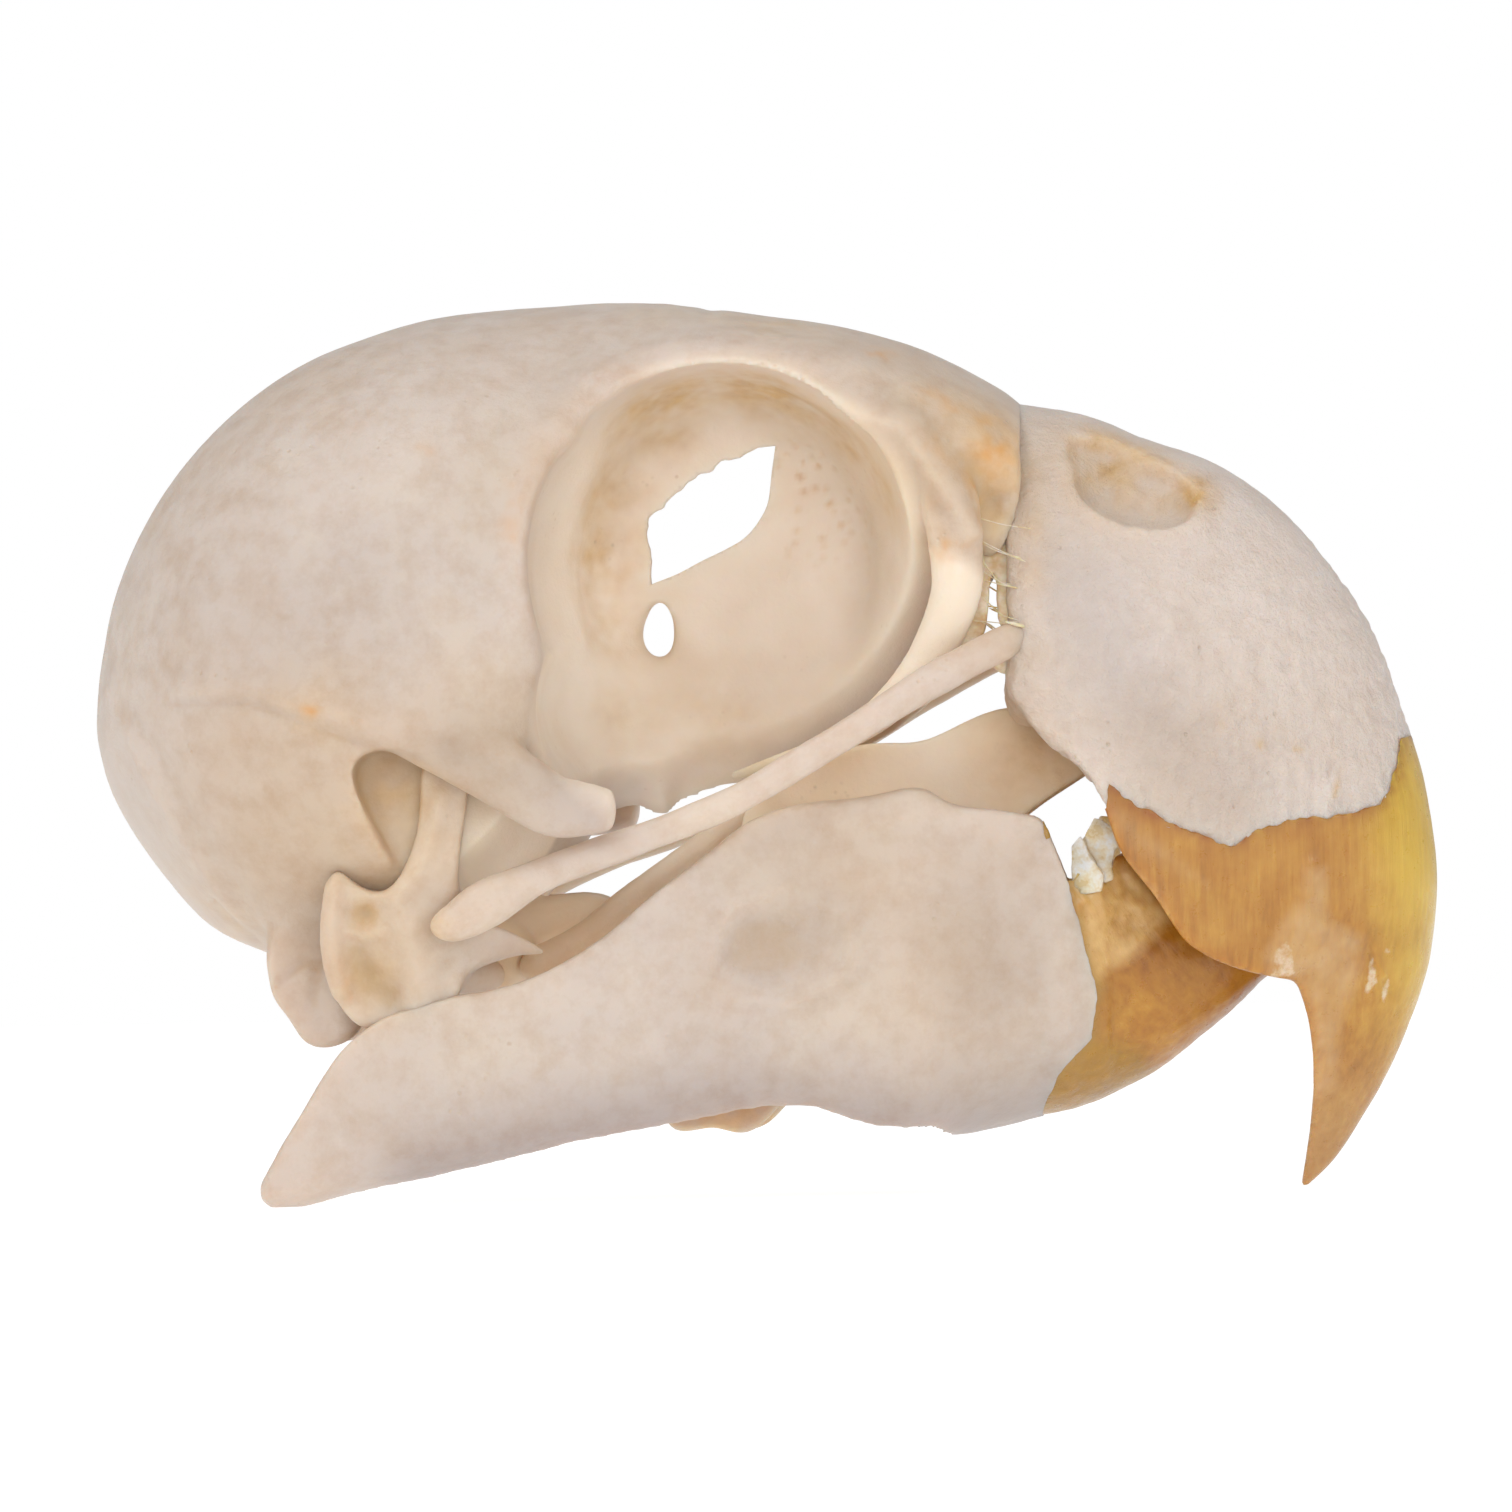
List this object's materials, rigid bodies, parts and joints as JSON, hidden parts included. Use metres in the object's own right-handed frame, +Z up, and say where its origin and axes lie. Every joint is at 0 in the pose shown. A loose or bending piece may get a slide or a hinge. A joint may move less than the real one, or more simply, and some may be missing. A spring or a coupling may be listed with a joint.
{
  "type": "parrot skull",
  "caption": "Small parrot's skull with domed braincase, large eye sockets, deep hooked bill with horny sheaths, closed lower jaw and slender cheek bars.",
  "frame": {"origin": "centre of the footprint, on the surface that the skull rests on", "axes": "+X towards the hook of the bill, +Y to the bird's left, +Z up"},
  "size_m": [0.0438, 0.0224, 0.0294],
  "materials": {
    "bone": "dry ivory bone, softly glossy",
    "upper_horn": "amber horn, semi-gloss",
    "lower_horn": "brown amber horn, semi-gloss"
  },
  "bodies": {
    "root": {"cranium": "bone", "upper_bill_bone": "bone", "lower_jaw": "bone", "jugal_bar_left": "bone", "jugal_bar_right": "bone", "quadrate_left": "bone", "quadrate_right": "bone", "palatine_left": "bone", "palatine_right": "bone", "pterygoid_left": "bone", "pterygoid_right": "bone", "upper_bill_sheath": "upper_horn", "lower_bill_sheath": "lower_horn"}
  },
  "joints": []
}
